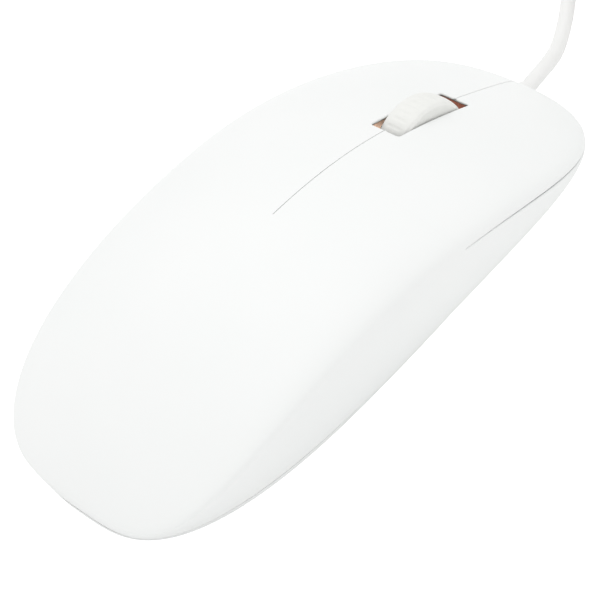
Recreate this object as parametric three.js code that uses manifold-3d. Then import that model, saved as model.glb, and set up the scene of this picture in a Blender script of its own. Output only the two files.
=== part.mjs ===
// A slim wired optical mouse, as the separate pieces that it is assembled from.
// Frame: +Y towards the cable, +X to the right, +Z up, z = 0 under the feet, x = y = 0 in the middle
// of the housing. Units are millimetres.
import * as THREE from "three";
import { mergeVertices } from "three/addons/utils/BufferGeometryUtils.js";
import Module from "manifold-3d";

const wasm = await Module();
wasm.setup();

// ---- Driving dimensions ----

// Housing. Lengthwise, every outline is a formula in u = y / HALF_LENGTH, from -1 at the rear to 1.
const HALF_LENGTH = 56.5;
const HALF_WIDTH = 26.86;
const HEIGHT = 25.77;
const WALL = 1.8;
const BASE_Z = 0.6; // underside of the bottom case
const EDGE_Z = 1.3; // where the rounded bottom edge meets the side wall
const EDGE_INSET = 0.7;
const PARTING_Z = 2.4; // joint between the upper housing and the bottom case
const GAP = 0.3; // clearance between neighbouring pieces
const BOTTOM_HALF_WIDTH = 21.8;
const BOTTOM_HALF_LENGTH = 54;
const BOTTOM_Y = -1.95;

// The crease is the widest line of the housing, where the keys meet the side wall: [u, height].
const CREASE = [[-1, 5.1], [-0.5, 17.5], [0, 20.35], [0.5, 15.95], [0.8, 10.95], [1, 8.25]];

// Keys and wheel slot
const HINGE_Y = 8; // the keys flex about this line
const SLIT_REAR_Y = -5;
const SLIT_WIDTH = 0.3;
const KEY_DROP_GAP = 0.7; // gap under the key at its front lip, which takes the key's travel
const SLOT_WIDTH = 6.3;
const SLOT_REAR_Y = 22.3;
const SLOT_FRONT_Y = 40.1;
const SLOT_CORNER = 0.5;

// Scroll wheel
const WHEEL_Y = 29.1;
const WHEEL_Z = 12.9;
const WHEEL_RADIUS = 10.3;
const WHEEL_WIDTH = 5.7;
const WHEEL_CROWN = 0.35; // how much smaller the tread is at its edges, where a chamfer starts
const TYRE_CHAMFER = 0.5;
const TYRE_BORE = 7.6;
const TYRE_FLANGE = 6.6; // inner radius of the flanges that cover the hub's sides
const FLANGE_THICKNESS = 0.35;
const HUB_HALF = WHEEL_WIDTH / 2 - FLANGE_THICKNESS - GAP;
const AXLE_RADIUS = 1.25;

// Circuit board and what stands on it
const BOARD_Z = 6.2;
const BOARD_THICKNESS = 1.6;
const BOARD_TOP = BOARD_Z + BOARD_THICKNESS + GAP; // where parts on the board start
const SWITCH_X = 13.7;
const SWITCH_Y = 31.5;
const SWITCH_SIZE = [5.8, 12.8, 6.2];
const PLUNGER_Y = 33.5;
const PLUNGER_TOP = 14.9;
const ENCODER_X = -7.45;
const ENCODER_WIDTH = 5.5;
const TACT_X = 8;
const HEADER_X = 6.6;
const SENSOR_Y = 1;
const POSTS = [[-13, 20], [13, 20], [-13, -9], [13, -9]];
const SCREWS = { left: -11, right: 11 };
const SCREW_Y = -42;

// Cable: 1.5 m in all
const CABLE_RADIUS = 1.5;
const CABLE_Z = 5.1; // height of the cable's axis where it leaves the housing
const COIL_CENTRE = [-1.4, 116.8];
const COIL_MEAN_RADIUS = 16.9;
const COIL_LAYERS = 4;
const TURNS_PER_LAYER = 3.2; // each layer is a flat spiral, in or out, with its turns one diameter apart
const COIL_BASE_Z = 0.85; // the tie passes under the coil
const TIE_THICKNESS = 0.5;
const PLUG_HALF_HEIGHT = 3.9;

// ---- Materials ----

const plastic = (color, roughness = 0.45) =>
  new THREE.MeshStandardMaterial({ color, roughness, metalness: 0 });
const metal = (color) => new THREE.MeshStandardMaterial({ color, roughness: 0.3, metalness: 1 });
const white = plastic("#f6f7f6");
const wheelWhite = plastic("#e9e8e5", 0.6);
const cableWhite = plastic("#ebebe9", 0.55);
const black = plastic("#1d1d1f");
const boardRed = plastic("#6b2a1c", 0.5);
const tan = plastic("#c9a27e", 0.5);
const natural = plastic("#dfd9cb", 0.5);
const clear = plastic("#e8eef2", 0.08);
const ledRed = plastic("#c4241b", 0.15);
const footGrey = plastic("#3b3c3e", 0.6);
const steel = metal("#c9cbcc");

// ---- Solids: manifold-3d joins and cuts closed three.js geometries ----

function solid(geometry) {
  const bare = new THREE.BufferGeometry();
  bare.setAttribute("position", geometry.getAttribute("position"));
  bare.setIndex(geometry.index);
  const merged = mergeVertices(bare, 1e-4);
  const corners = merged.index.array;
  const triangles = [];
  for (let i = 0; i < corners.length; i += 3) {
    const [a, b, c] = corners.slice(i, i + 3);
    if (a !== b && b !== c && c !== a) triangles.push(a, b, c);
  }
  return new wasm.Manifold(new wasm.Mesh({
    numProp: 3,
    vertProperties: new Float32Array(merged.getAttribute("position").array),
    triVerts: new Uint32Array(triangles),
  }));
}

function geometryOf(shape) {
  const mesh = shape.getMesh();
  const geometry = new THREE.BufferGeometry();
  geometry.setAttribute("position", new THREE.BufferAttribute(mesh.vertProperties, 3));
  geometry.setIndex(new THREE.BufferAttribute(mesh.triVerts, 1));
  const flat = geometry.toNonIndexed();
  flat.computeVertexNormals();
  return flat;
}

const join = (first, ...others) => others.reduce((whole, other) => whole.add(other), first);
const cut = (first, ...others) => others.reduce((whole, other) => whole.subtract(other), first);

// A box from its size, the middle of its base, and the height of that base.
function block([width, depth, height], x = 0, y = 0, z = 0) {
  return solid(new THREE.BoxGeometry(width, depth, height).translate(x, y, z + height / 2));
}

// An upright rod from its foot.
function rod(radius, height, x = 0, y = 0, z = 0, sides = 20) {
  const geometry = new THREE.CylinderGeometry(radius, radius, height, sides);
  return solid(geometry.rotateX(Math.PI / 2).translate(x, y, z + height / 2));
}

// A rod along X or Y about its middle.
function lyingRod(radius, length, axis, x = 0, y = 0, z = 0, sides = 20) {
  const geometry = new THREE.CylinderGeometry(radius, radius, length, sides);
  if (axis === "x") geometry.rotateZ(Math.PI / 2);
  return solid(geometry.translate(x, y, z));
}

// A flat plate: an outline in X and Y, with holes, from z upwards.
function plate(shape, z, thickness, curveSegments = 6) {
  const geometry = new THREE.ExtrudeGeometry(shape, { depth: thickness, bevelEnabled: false, curveSegments });
  return solid(geometry.translate(0, 0, z));
}

function roundedOutline(width, depth, radius, x = 0, y = 0, Outline = THREE.Shape) {
  const [w, d] = [width / 2, depth / 2];
  const outline = new Outline();
  outline.moveTo(x - w + radius, y - d);
  outline.lineTo(x + w - radius, y - d);
  outline.absarc(x + w - radius, y - d + radius, radius, -Math.PI / 2, 0);
  outline.lineTo(x + w, y + d - radius);
  outline.absarc(x + w - radius, y + d - radius, radius, 0, Math.PI / 2);
  outline.lineTo(x - w + radius, y + d);
  outline.absarc(x - w + radius, y + d - radius, radius, Math.PI / 2, Math.PI);
  outline.lineTo(x - w, y - d + radius);
  outline.absarc(x - w + radius, y - d + radius, radius, Math.PI, 1.5 * Math.PI);
  return outline;
}

// A bar across X from an outline in Y and Z.
function crossBar(points, width, x = 0) {
  const shape = new THREE.Shape(points.map(([y, z]) => new THREE.Vector2(y, z)));
  const geometry = new THREE.ExtrudeGeometry(shape, { depth: width, bevelEnabled: false });
  const toSide = new THREE.Matrix4().makeBasis(
    new THREE.Vector3(0, 1, 0), new THREE.Vector3(0, 0, 1), new THREE.Vector3(1, 0, 0));
  return solid(geometry.applyMatrix4(toSide).translate(x - width / 2, 0, 0));
}

// A turned piece from [radius, height] points, about Z.
function turned(profile, sides = 32) {
  const points = profile.map(([r, h]) => new THREE.Vector2(r, h));
  return solid(new THREE.LatheGeometry([...points, points[0]], sides).rotateX(Math.PI / 2));
}
const alongX = (shape) => shape.rotate([0, 90, 0]);
const alongY = (shape) => shape.rotate([-90, 0, 0]);

// A round bar along a curve.
function tube(points, radius, steps, sides = 8) {
  const outline = new THREE.Shape();
  for (let i = 0; i < sides; i++) {
    const angle = (2 * Math.PI * i) / sides;
    const [x, y] = [radius * Math.cos(angle), radius * Math.sin(angle)];
    if (i) outline.lineTo(x, y);
    else outline.moveTo(x, y);
  }
  const extrudePath = new THREE.CatmullRomCurve3(points.map((p) => new THREE.Vector3(...p)));
  return solid(new THREE.ExtrudeGeometry(outline, { steps, bevelEnabled: false, extrudePath }));
}

// ---- Housing form ----

const squircle = (u, power) => Math.max(0, 1 - Math.abs(u) ** power) ** (1 / power);
const polynomial = (u, terms) => terms.reduceRight((sum, term) => sum * u + term, 0);

// The smooth curve through a few [u, value] stations.
function through(stations, u) {
  let sum = 0;
  for (const [ui, value] of stations) {
    let share = value;
    for (const [uj] of stations) if (uj !== ui) share *= (u - uj) / (ui - uj);
    sum += share;
  }
  return sum;
}

const creaseZ = (u) => through(CREASE, u);
const halfWidth = (u) =>
  HALF_WIDTH * squircle(u, u > 0 ? 2.43 : 3.76) * polynomial(u, [1, 0.082, 0.107, 0.11, 0.109]);
const bottomHalfWidth = (u) => BOTTOM_HALF_WIDTH * squircle(u, 3.18) * polynomial(u, [1, -0.1, -0.08]);
const crown = (u) => (HEIGHT - creaseZ(0)) * squircle(u, 2.24) * polynomial(u, [1, 0.31, -0.19, -0.14]);
const archAcross = (u, s) => Math.max(0, 1 - Math.abs(s) ** (2.49 - 0.08 * u)) ** (1 / 2.26);
const bulge = (u) => (1.7 + 1.4 * u) * (1 - 0.8 * u ** 8);

// The housing's outside, or the same form shrunk by an inset. s runs across from -1 to 1 on the top,
// and t runs down the side wall from the crease to the bottom edge.
function housingForm(inset) {
  const across = (HALF_WIDTH - inset) / HALF_WIDTH;
  const along = (HALF_LENGTH - inset) / HALF_LENGTH;
  const crease = (u) => creaseZ(u) - 0.6 * inset;
  const rise = 1 - (0.4 * inset) / (HEIGHT - creaseZ(0));
  const top = (u, s) =>
    [s * across * halfWidth(u), along * HALF_LENGTH * u, crease(u) + rise * crown(u) * archAcross(u, s)];
  const bottom = (u, side, extra = 0) => {
    const shrink = 1 - (inset + extra) / BOTTOM_HALF_WIDTH;
    const y = BOTTOM_Y + (BOTTOM_HALF_LENGTH - inset - extra) * u;
    return [side * shrink * bottomHalfWidth(u), y, EDGE_Z];
  };
  const wall = (u, t, side) => {
    const from = top(u, side);
    const to = bottom(u, side);
    const out = 4 * t * (1 - t) * bulge(u);
    return [
      from[0] + t * (to[0] - from[0]) + side * out * Math.sqrt(1 - u * u),
      from[1] + t * (to[1] - from[1]) + out * u,
      from[2] + t * (to[2] - from[2]),
    ];
  };
  return { top, wall, bottom };
}

// The closed solid of a form: rings from the rear tip to the front tip, each once round the section.
function housingSolid(inset, stations = 32, acrossSteps = 20, wallSteps = 4) {
  const { top, wall, bottom } = housingForm(inset);
  const corners = [];
  let ringSize = 0;
  for (let i = 0; i <= stations; i++) {
    const u = i === 0 ? -1 : i === stations ? 1 : -Math.cos((Math.PI * i) / stations);
    const ring = [];
    for (let j = 0; j <= acrossSteps; j++) {
      const s = j === 0 ? 1 : j === acrossSteps ? -1 : Math.cos((Math.PI * j) / acrossSteps);
      ring.push(top(u, s));
    }
    for (let j = 1; j <= wallSteps; j++) ring.push(wall(u, j / wallSteps, -1));
    for (const side of [-1, 1]) {
      const [x, y] = bottom(u, side, EDGE_INSET);
      ring.push([x, y, BASE_Z]);
    }
    for (let j = wallSteps; j >= 1; j--) ring.push(wall(u, j / wallSteps, 1));
    ringSize = ring.length;
    corners.push(...ring.flat());
  }
  const index = [];
  for (let i = 0; i < stations; i++)
    for (let j = 0; j < ringSize; j++) {
      const [a, b] = [i * ringSize + j, i * ringSize + ((j + 1) % ringSize)];
      index.push(a, a + ringSize, b, b, a + ringSize, b + ringSize);
    }
  const geometry = new THREE.BufferGeometry();
  geometry.setAttribute("position", new THREE.Float32BufferAttribute(corners, 3));
  geometry.setIndex(index);
  return solid(geometry);
}

// Everything above the crease from rearY forwards, less a gap that grows from the hinge to the front.
function aboveCrease(rearY, rearGap, frontGap) {
  const steps = 16;
  const under = [];
  for (let i = 0; i <= steps; i++) {
    const y = rearY + ((HALF_LENGTH - rearY) * i) / steps;
    const share = (y - HINGE_Y) / (HALF_LENGTH - HINGE_Y);
    under.push([y, creaseZ(y / HALF_LENGTH) - rearGap - (frontGap - rearGap) * share]);
  }
  const frontY = HALF_LENGTH + 10;
  const roof = HEIGHT + 10;
  return crossBar([...under, [frontY, under.at(-1)[1]], [frontY, roof], [rearY, roof]], 4 * HALF_WIDTH);
}

const outside = housingSolid(0);
const cavity = housingSolid(WALL, 22, 14, 3);
const skin = cut(outside, cavity);
const slab = (z0, z1) => block([4 * HALF_WIDTH, 3 * HALF_LENGTH, z1 - z0], 0, 0, z0);

// ---- Upper housing ----

function wheelSlot() {
  const depth = SLOT_FRONT_Y - SLOT_REAR_Y;
  const outline = roundedOutline(SLOT_WIDTH, depth, SLOT_CORNER, 0, SLOT_REAR_Y + depth / 2);
  return plate(outline, WHEEL_Z, HEIGHT);
}

// Room for the strain relief: its neck through the wall and its flange behind it.
function reliefHole() {
  const neck = lyingRod(2.45, 12, "y", 0, HALF_LENGTH - 2, CABLE_Z);
  return join(neck, lyingRod(3.3, 2.6, "y", 0, HALF_LENGTH - 4.8, CABLE_Z));
}

function screwBoss(x) {
  const column = cut(rod(3, HEIGHT, x, SCREW_Y, 5), rod(AXLE_RADIUS, 8, x, SCREW_Y, 4));
  return column.intersect(housingSolid(WALL / 2, 22, 14, 3));
}

function palmCover() {
  const cover = cut(
    skin.intersect(slab(PARTING_Z + GAP / 2, HEIGHT + 1)),
    aboveCrease(HINGE_Y, GAP, KEY_DROP_GAP),
    block([SLIT_WIDTH, HINGE_Y - SLIT_REAR_Y + 1, HEIGHT], 0, (HINGE_Y + SLIT_REAR_Y + 1) / 2, WHEEL_Z),
    reliefHole(),
  );
  return join(cover, ...Object.values(SCREWS).map(screwBoss));
}

// side is -1 for the left key and 1 for the right key.
function key(side) {
  const half = block([HALF_WIDTH * 2, 4 * HALF_LENGTH, HEIGHT * 2], side * (HALF_WIDTH + SLIT_WIDTH / 2));
  const lid = cut(skin.intersect(aboveCrease(HINGE_Y + GAP, 0, 0)), wheelSlot()).intersect(half);
  const rib = block([2.4, 2, HEIGHT], side * SWITCH_X, PLUNGER_Y, PLUNGER_TOP + GAP);
  return join(lid, rib.intersect(housingSolid(WALL / 2, 22, 14, 3)));
}

// ---- Bottom case ----

const FEET = { front: [18, 6, 43], rear: [34, 7, SCREW_Y] };
const LABEL = [26, 14, -19];
const FOOT_RECESS = 0.3;

function innerLip() {
  const ring = cut(housingSolid(WALL + 0.35, 22, 6, 3), housingSolid(WALL + 1.35, 22, 6, 3));
  return ring.intersect(slab(PARTING_Z - 0.4, PARTING_Z + 1.4));
}

function boardPost([x, y]) {
  const floor = PARTING_Z - 0.4;
  return join(rod(1.7, BOARD_Z - GAP - floor, x, y, floor), rod(0.9, BOARD_Z + 2 - floor, x, y, floor, 16));
}

function screwSocket(x) {
  const column = rod(3.2, 4.7 - BASE_Z, x, SCREW_Y, BASE_Z);
  return cut(column, rod(2.3, 2.1, x, SCREW_Y, BASE_Z), rod(1.25, 9, x, SCREW_Y, 0));
}

function bottomCase() {
  const floorPlate = outside.intersect(slab(0, PARTING_Z - GAP / 2));
  const recesses = Object.values(FEET).map(([w, d, y]) =>
    plate(roundedOutline(w + 2 * GAP, d + 2 * GAP, d / 2 + GAP - 0.01, 0, y), 0, BASE_Z + FOOT_RECESS));
  const [w, d, y] = LABEL;
  const labelRecess = plate(roundedOutline(w + 2 * GAP, d + 2 * GAP, 1.2, 0, y), 0, BASE_Z + FOOT_RECESS);
  const aperture = plate(roundedOutline(8, 11, 2, 0, SENSOR_Y), 0, PARTING_Z + 1);
  const screwHoles = Object.values(SCREWS).map((x) => rod(3.1, 5, x, SCREW_Y, 0));
  const holed = cut(floorPlate, aperture, ...screwHoles);
  const whole = join(holed, innerLip(), ...POSTS.map(boardPost), ...Object.values(SCREWS).map(screwSocket));
  return cut(whole, ...recesses, labelRecess, reliefHole());
}

function foot([w, d, y]) {
  return plate(roundedOutline(w, d, d / 2 - 0.01, 0, y), 0, BASE_Z);
}

// A pan-head screw, head down, with a cross recess.
function screw(x) {
  const profile = [[0, 0], [1.6, 0], [2, 0.4], [2, 1.1], [0.95, 1.1], [0.95, 9], [0.4, 9.8], [0, 9.8]];
  const head = turned(profile, 20);
  const cross = join(block([2.2, 0.5, 0.6], 0, 0, -0.1), block([0.5, 2.2, 0.6], 0, 0, -0.1));
  return cut(head, cross).translate([x, SCREW_Y, 1.25]);
}

// ---- Circuit board and the parts on it ----

function circuitBoard() {
  const outline = new THREE.Shape();
  const corners = [[-17.3, -14], [17.3, -14], [17.3, 38], [10.5, 45], [-2, 45], [-2, 48.5], [-11, 48.5],
    [-17.3, 40.5]];
  corners.forEach(([x, y], i) => (i ? outline.lineTo(x, y) : outline.moveTo(x, y)));
  const hole = (...args) => outline.holes.push(roundedOutline(...args, THREE.Path));
  hole(8, 19, 0.8, 0, WHEEL_Y);
  hole(7, 7, 0.6, 0, SENSOR_Y);
  for (const [x, y] of POSTS) hole(2.4, 2.4, 1.19, x, y);
  return plate(outline, BOARD_Z, BOARD_THICKNESS, 4);
}

function switchBody(side) {
  const body = block(SWITCH_SIZE, side * SWITCH_X, SWITCH_Y, BOARD_TOP);
  return cut(body, block([2.6, 2.2, 3], side * SWITCH_X, PLUNGER_Y, BOARD_TOP + SWITCH_SIZE[2] - 1.4));
}

function switchPlunger(side) {
  const foot = BOARD_TOP + SWITCH_SIZE[2] - 0.7;
  return block([2, 1.6, PLUNGER_TOP - foot], side * SWITCH_X, PLUNGER_Y, foot);
}

function middleSwitchBody() {
  const body = block([5, 5.2, 2.8], TACT_X, WHEEL_Y, BOARD_TOP);
  return cut(body, rod(1.9, 2, TACT_X, WHEEL_Y, BOARD_TOP + 1.8, 24));
}

const middlePlunger = () => rod(1.5, 1, TACT_X, WHEEL_Y, BOARD_TOP + 2.25, 24);

function encoderHousing() {
  const [z0, z1] = [BOARD_TOP, WHEEL_Z + 3.7];
  const side = [[-4.6, z0], [4.6, z0], [4.6, z1 - 2.4], [2.2, z1], [-2.2, z1], [-4.6, z1 - 2.4]];
  const body = crossBar(side.map(([y, z]) => [WHEEL_Y + y, z]), ENCODER_WIDTH, ENCODER_X);
  return cut(body, lyingRod(2.7, 2 * ENCODER_WIDTH, "x", ENCODER_X, WHEEL_Y, WHEEL_Z, 28));
}

function encoderRotor() {
  const ring = turned([[AXLE_RADIUS + GAP, -2.5], [2.4, -2.5], [2.4, 2.5], [AXLE_RADIUS + GAP, 2.5]], 24);
  return alongX(ring).translate([ENCODER_X, WHEEL_Y, WHEEL_Z]);
}

// An upright plate with an open slot that guides the free end of the axle.
function wheelBracket() {
  const slotWidth = 2 * AXLE_RADIUS + 0.6;
  const cheek = block([0.9, 7.4, 7.4], 4.6, WHEEL_Y, BOARD_TOP);
  const foot = block([1.7, 2.2, 0.9], 4.2, WHEEL_Y - 5, BOARD_TOP);
  const slot = block([3, slotWidth, 6], 4.6, WHEEL_Y, WHEEL_Z - AXLE_RADIUS - 0.8);
  return join(cut(cheek, slot), foot.translate([0.4, 1, 0]));
}

function opticalSensor() {
  const body = block([9, 12.2, 3.6], 0, SENSOR_Y, BOARD_TOP + 0.1);
  const legs = [];
  for (const side of [-1, 1])
    for (let i = 0; i < 4; i++) {
      legs.push(block([2, 0.6, 0.4], side * 5.2, SENSOR_Y - 3.8 + 2.54 * i, BOARD_TOP));
    }
  const bent = legs.map((leg) => join(leg, leg.translate([0, 0, 0.3])));
  return join(body, ...bent);
}

// One clear moulding: the lens over the aperture and the light pipe behind it.
function sensorLens() {
  const base = block([12, 17, 1.4], 0, SENSOR_Y - 3, PARTING_Z + GAP / 2);
  const eye = join(rod(2.6, 3, 0, SENSOR_Y, 1.2, 20), rod(2, 3, 0, SENSOR_Y, PARTING_Z, 20));
  const y = SENSOR_Y - 9.5;
  const pipe = crossBar([[y - 2, PARTING_Z + 1], [y + 4, PARTING_Z + 1], [y + 1, 5.9], [y - 2, 5.9]], 4);
  return join(base, eye, pipe);
}

const LED_Y = -11;
const LED_Z = BOARD_TOP + 2.2;

function sensorLed() {
  const dome = new THREE.SphereGeometry(1.5, 20, 12).translate(0, LED_Y + 2.4, LED_Z);
  const body = lyingRod(1.5, 5, "y", 0, LED_Y, LED_Z);
  return join(body, lyingRod(1.8, 0.8, "y", 0, LED_Y - 2.3, LED_Z), solid(dome));
}

function ledClip() {
  const shell = block([6.4, 4, 4.9], 0, LED_Y, BOARD_TOP);
  return cut(shell, lyingRod(1.9, 6, "y", 0, LED_Y, LED_Z, 24), block([2.2, 6, 3], 0, LED_Y, BOARD_TOP - 1));
}

function capacitor() {
  return turned([[0, 0], [2.5, 0], [2.5, 0.8], [2.3, 1.1], [2.5, 1.4], [2.5, 6.6], [2.2, 7], [0, 7]], 24)
    .translate([11.5, 3, BOARD_TOP]);
}

const controllerChip = () => block([6, 8.6, 1.5], -12, 5, BOARD_TOP);

function cableHeader() {
  const cup = block([7, 4.6, 4], HEADER_X, 41.8, BOARD_TOP);
  return cut(cup, block([5.6, 4.6, 2.8], HEADER_X, 42.6, BOARD_TOP + 0.6));
}

const headerPlug = () => block([5, 3.8, 2.2], HEADER_X, 42.5, BOARD_TOP + 0.9);

// ---- Scroll wheel ----

function wheelTyre() {
  const half = WHEEL_WIDTH / 2;
  const inner = half - FLANGE_THICKNESS;
  const edge = half - TYRE_CHAMFER;
  const right = [];
  const steps = 5;
  for (let i = 0; i <= steps; i++) {
    const h = (edge * i) / steps;
    right.push([WHEEL_RADIUS - WHEEL_CROWN * (h / edge) ** 2.5, h]);
  }
  right.push([WHEEL_RADIUS - WHEEL_CROWN - TYRE_CHAMFER, half], [TYRE_FLANGE, half], [TYRE_FLANGE, inner]);
  right.push([TYRE_BORE, inner]);
  const left = right.slice(1).reverse().map(([r, h]) => [r, -h]);
  return alongX(turned([...left, ...right], 44));
}

function wheelHub() {
  const rim = TYRE_BORE - GAP;
  const web = [[0, -1], [4.6, -1], [4.9, -HUB_HALF], [rim, -HUB_HALF]];
  const mirrored = web.map(([r, h]) => [r, -h]).reverse();
  const disc = alongX(turned([...web, ...mirrored], 36));
  const axleEnds = [ENCODER_X - ENCODER_WIDTH / 2 - 0.2, TACT_X + 2.2];
  const length = axleEnds[1] - axleEnds[0];
  return join(disc, lyingRod(AXLE_RADIUS, length, "x", axleEnds[0] + length / 2, 0, 0, 20));
}

// ---- Cable ----

const [COIL_X, COIL_Y] = COIL_CENTRE;
const COIL_HALF_WIDTH = (TURNS_PER_LAYER + 1) * CABLE_RADIUS;
const COIL_TOP = COIL_BASE_Z + 2 * CABLE_RADIUS * COIL_LAYERS;
const EXIT_Y = HALF_LENGTH - 0.3; // the cable starts inside the strain relief

// From the strain relief down to the table and round to the coil's outer turn.
const LEAD = [
  [0, EXIT_Y, CABLE_Z], [-0.1, 58.5, 5.25], [-0.5, 61, 5.3], [-1.2, 64.4, 4.9], [-2.3, 68, 4],
  [-3.8, 71.8, 2.9], [-5.7, 75.7, 2], [-7.8, 79.6, 1.6], [-10, 83.5, 1.55], [-12.4, 87.4, 1.55],
  [-14.9, 91.4, 1.55], [-17.6, 95.8, 1.6], [-20.3, 100.4, 1.8],
];

// From the coil's top turn down to the plug, which lies on the table beyond it, from the coil's centre.
const TAIL = [
  [-22.7, 10.6, 10.2], [-23.1, 14.6, 9.2], [-22.8, 18.6, 7.9], [-21.7, 22.5, 6.5], [-19.7, 26, 5.3],
  [-17, 29, 4.5], [-13.7, 31.4, 4.05], [-10, 32.8, 3.9], [-6.4, 33.2, 3.9],
].map(([x, y, z]) => [COIL_X + x, COIL_Y + y, z]);

// The relief is a grommet: a flange inside the wall, a neck through it and a short taper outside.
function strainRelief() {
  const bore = CABLE_RADIUS + GAP;
  const profile = [[bore, -5.8], [3, -5.8], [3, -4.4], [2.2, -4.4], [2.2, 0], [2.45, 0.3], [2.4, 1],
    [2.05, 2.5], [bore, 2.5]];
  return alongY(turned(profile, 24)).translate([0, HALF_LENGTH, CABLE_Z]);
}

// The cable's end inside: from the bore of the relief over the board's edge to the header.
function innerCable() {
  const route = [[0, EXIT_Y - GAP, CABLE_Z], [0, 54, CABLE_Z], [0.1, 51.5, CABLE_Z], [0.7, 49.3, 5.5],
    [2.1, 48, 6.5], [3.9, 47.5, 8], [5.6, 47.1, 9.3], [HEADER_X, 46.3, 10], [HEADER_X, 44.9, 10.1]];
  return tube(route, 1.2, 20);
}

function coilRing() {
  const [inner, outer] = [COIL_MEAN_RADIUS - COIL_HALF_WIDTH, COIL_MEAN_RADIUS + COIL_HALF_WIDTH];
  const section = [[inner, COIL_BASE_Z], [outer, COIL_BASE_Z], [outer, COIL_TOP], [inner, COIL_TOP]];
  return turned(section, 40).translate([COIL_X, COIL_Y, 0]);
}

function coilTie() {
  const reach = COIL_HALF_WIDTH + GAP;
  const height = COIL_TOP - COIL_BASE_Z + 2 * GAP;
  const band = (grow, width) => {
    const size = [2 * (reach + grow), width, height + 2 * grow];
    return block(size, COIL_X + COIL_MEAN_RADIUS, COIL_Y, COIL_BASE_Z - GAP - grow);
  };
  return cut(band(TIE_THICKNESS, 4), band(0, 6));
}

// The plug, along +X from the end of the cable.
const PLUG_X = TAIL.at(-1)[0] + GAP;
const PLUG_Y = TAIL.at(-1)[1];

function plugOvermould() {
  const body = plate(roundedOutline(24, 15.4, 2.4, PLUG_X + 19, PLUG_Y), 0, 2 * PLUG_HALF_HEIGHT, 5);
  const cone = alongX(turned([[0, 0], [2.1, 0], [3.2, 8], [0, 8]], 20));
  const neck = cone.translate([PLUG_X, PLUG_Y, PLUG_HALF_HEIGHT]);
  const socket = block([10, 12.4, 4.9], PLUG_X + 31, PLUG_Y, PLUG_HALF_HEIGHT - 2.45);
  return cut(join(body, neck), socket);
}

function plugShell() {
  const [length, width, height, sheet] = [23, 12, 4.5, 0.4];
  const x = PLUG_X + 26.4 + length / 2;
  const low = PLUG_HALF_HEIGHT - height / 2;
  const box = block([length, width, height], x, PLUG_Y, low);
  const inside = block([length, width - 2 * sheet, height - 2 * sheet], x + 1.5, PLUG_Y, low + sheet);
  const windows = [-2.6, 2.6].map((y) => block([2.6, 2.2, 20], x + 5, PLUG_Y + y, -10));
  return cut(box, inside, ...windows);
}

const plugTongue = () => block([18, 10.6, 1.9], PLUG_X + 38.4, PLUG_Y, PLUG_HALF_HEIGHT - 1.5);

// ---- The assembly ----

const mouse = new THREE.Group();

function add(name, shape, material, parent = mouse) {
  const mesh = new THREE.Mesh(geometryOf(shape), material);
  mesh.name = name;
  parent.add(mesh);
}

function addHousing() {
  const housing = new THREE.Group();
  add("palm_cover", palmCover(), white, housing);
  add("left_key", key(-1), white, housing);
  add("right_key", key(1), white, housing);
  add("bottom_case", bottomCase(), white, housing);
  for (const [place, size] of Object.entries(FEET)) add(place + "_foot", foot(size), footGrey, housing);
  const [w, d, y] = LABEL;
  add("blank_label", plate(roundedOutline(w, d, 1, 0, y), BASE_Z - 0.15, 0.15), natural, housing);
  for (const [place, x] of Object.entries(SCREWS)) add(place + "_screw", screw(x), steel, housing);
  mouse.add(housing);
}

function addElectronics() {
  const electronics = new THREE.Group();
  add("circuit_board", circuitBoard(), boardRed, electronics);
  for (const [place, side] of [["left", -1], ["right", 1]]) {
    add(place + "_switch_body", switchBody(side), black, electronics);
    add(place + "_switch_plunger", switchPlunger(side), natural, electronics);
  }
  add("middle_switch_body", middleSwitchBody(), black, electronics);
  add("middle_switch_plunger", middlePlunger(), natural, electronics);
  add("encoder_housing", encoderHousing(), tan, electronics);
  add("wheel_bracket", wheelBracket(), black, electronics);
  add("optical_sensor", opticalSensor(), black, electronics);
  add("sensor_lens", sensorLens(), clear, electronics);
  add("sensor_led", sensorLed(), ledRed, electronics);
  add("led_clip", ledClip(), black, electronics);
  add("capacitor", capacitor(), black, electronics);
  add("controller_chip", controllerChip(), black, electronics);
  add("cable_header", cableHeader(), natural, electronics);
  add("header_plug", headerPlug(), natural, electronics);
  mouse.add(electronics);
}

function addWheel() {
  const wheel = new THREE.Group();
  wheel.position.set(0, WHEEL_Y, WHEEL_Z);
  add("wheel_tyre", wheelTyre(), wheelWhite, wheel);
  add("wheel_hub", wheelHub(), natural, wheel);
  mouse.add(wheel);
  add("encoder_rotor", encoderRotor(), natural);
}

function addCable() {
  const cable = new THREE.Group();
  add("inner_cable", innerCable(), cableWhite, cable);
  add("strain_relief", strainRelief(), cableWhite, cable);
  add("cable_lead", tube(LEAD, CABLE_RADIUS, 18), cableWhite, cable);
  add("cable_coil", coilRing(), cableWhite, cable);
  add("cable_tail", tube(TAIL, CABLE_RADIUS, 12), cableWhite, cable);
  add("coil_tie", coilTie(), black, cable);
  add("plug_overmould", plugOvermould(), cableWhite, cable);
  add("plug_shell", plugShell(), steel, cable);
  add("plug_tongue", plugTongue(), white, cable);
  mouse.add(cable);
}

addHousing();
addElectronics();
addWheel();
addCable();

export default mouse;
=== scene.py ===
# %% [markdown]
# # A slim wired mouse in white plastic
# The mechanical model is made elsewhere and loaded here as a fixed frame. This file gives it its looks:
# smooth mouldings instead of faceted ones, a real cable, and a finish for every piece.

# %% Load the frame
import math

import bpy
import numpy as np
from mathutils import Matrix, Vector


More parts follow.
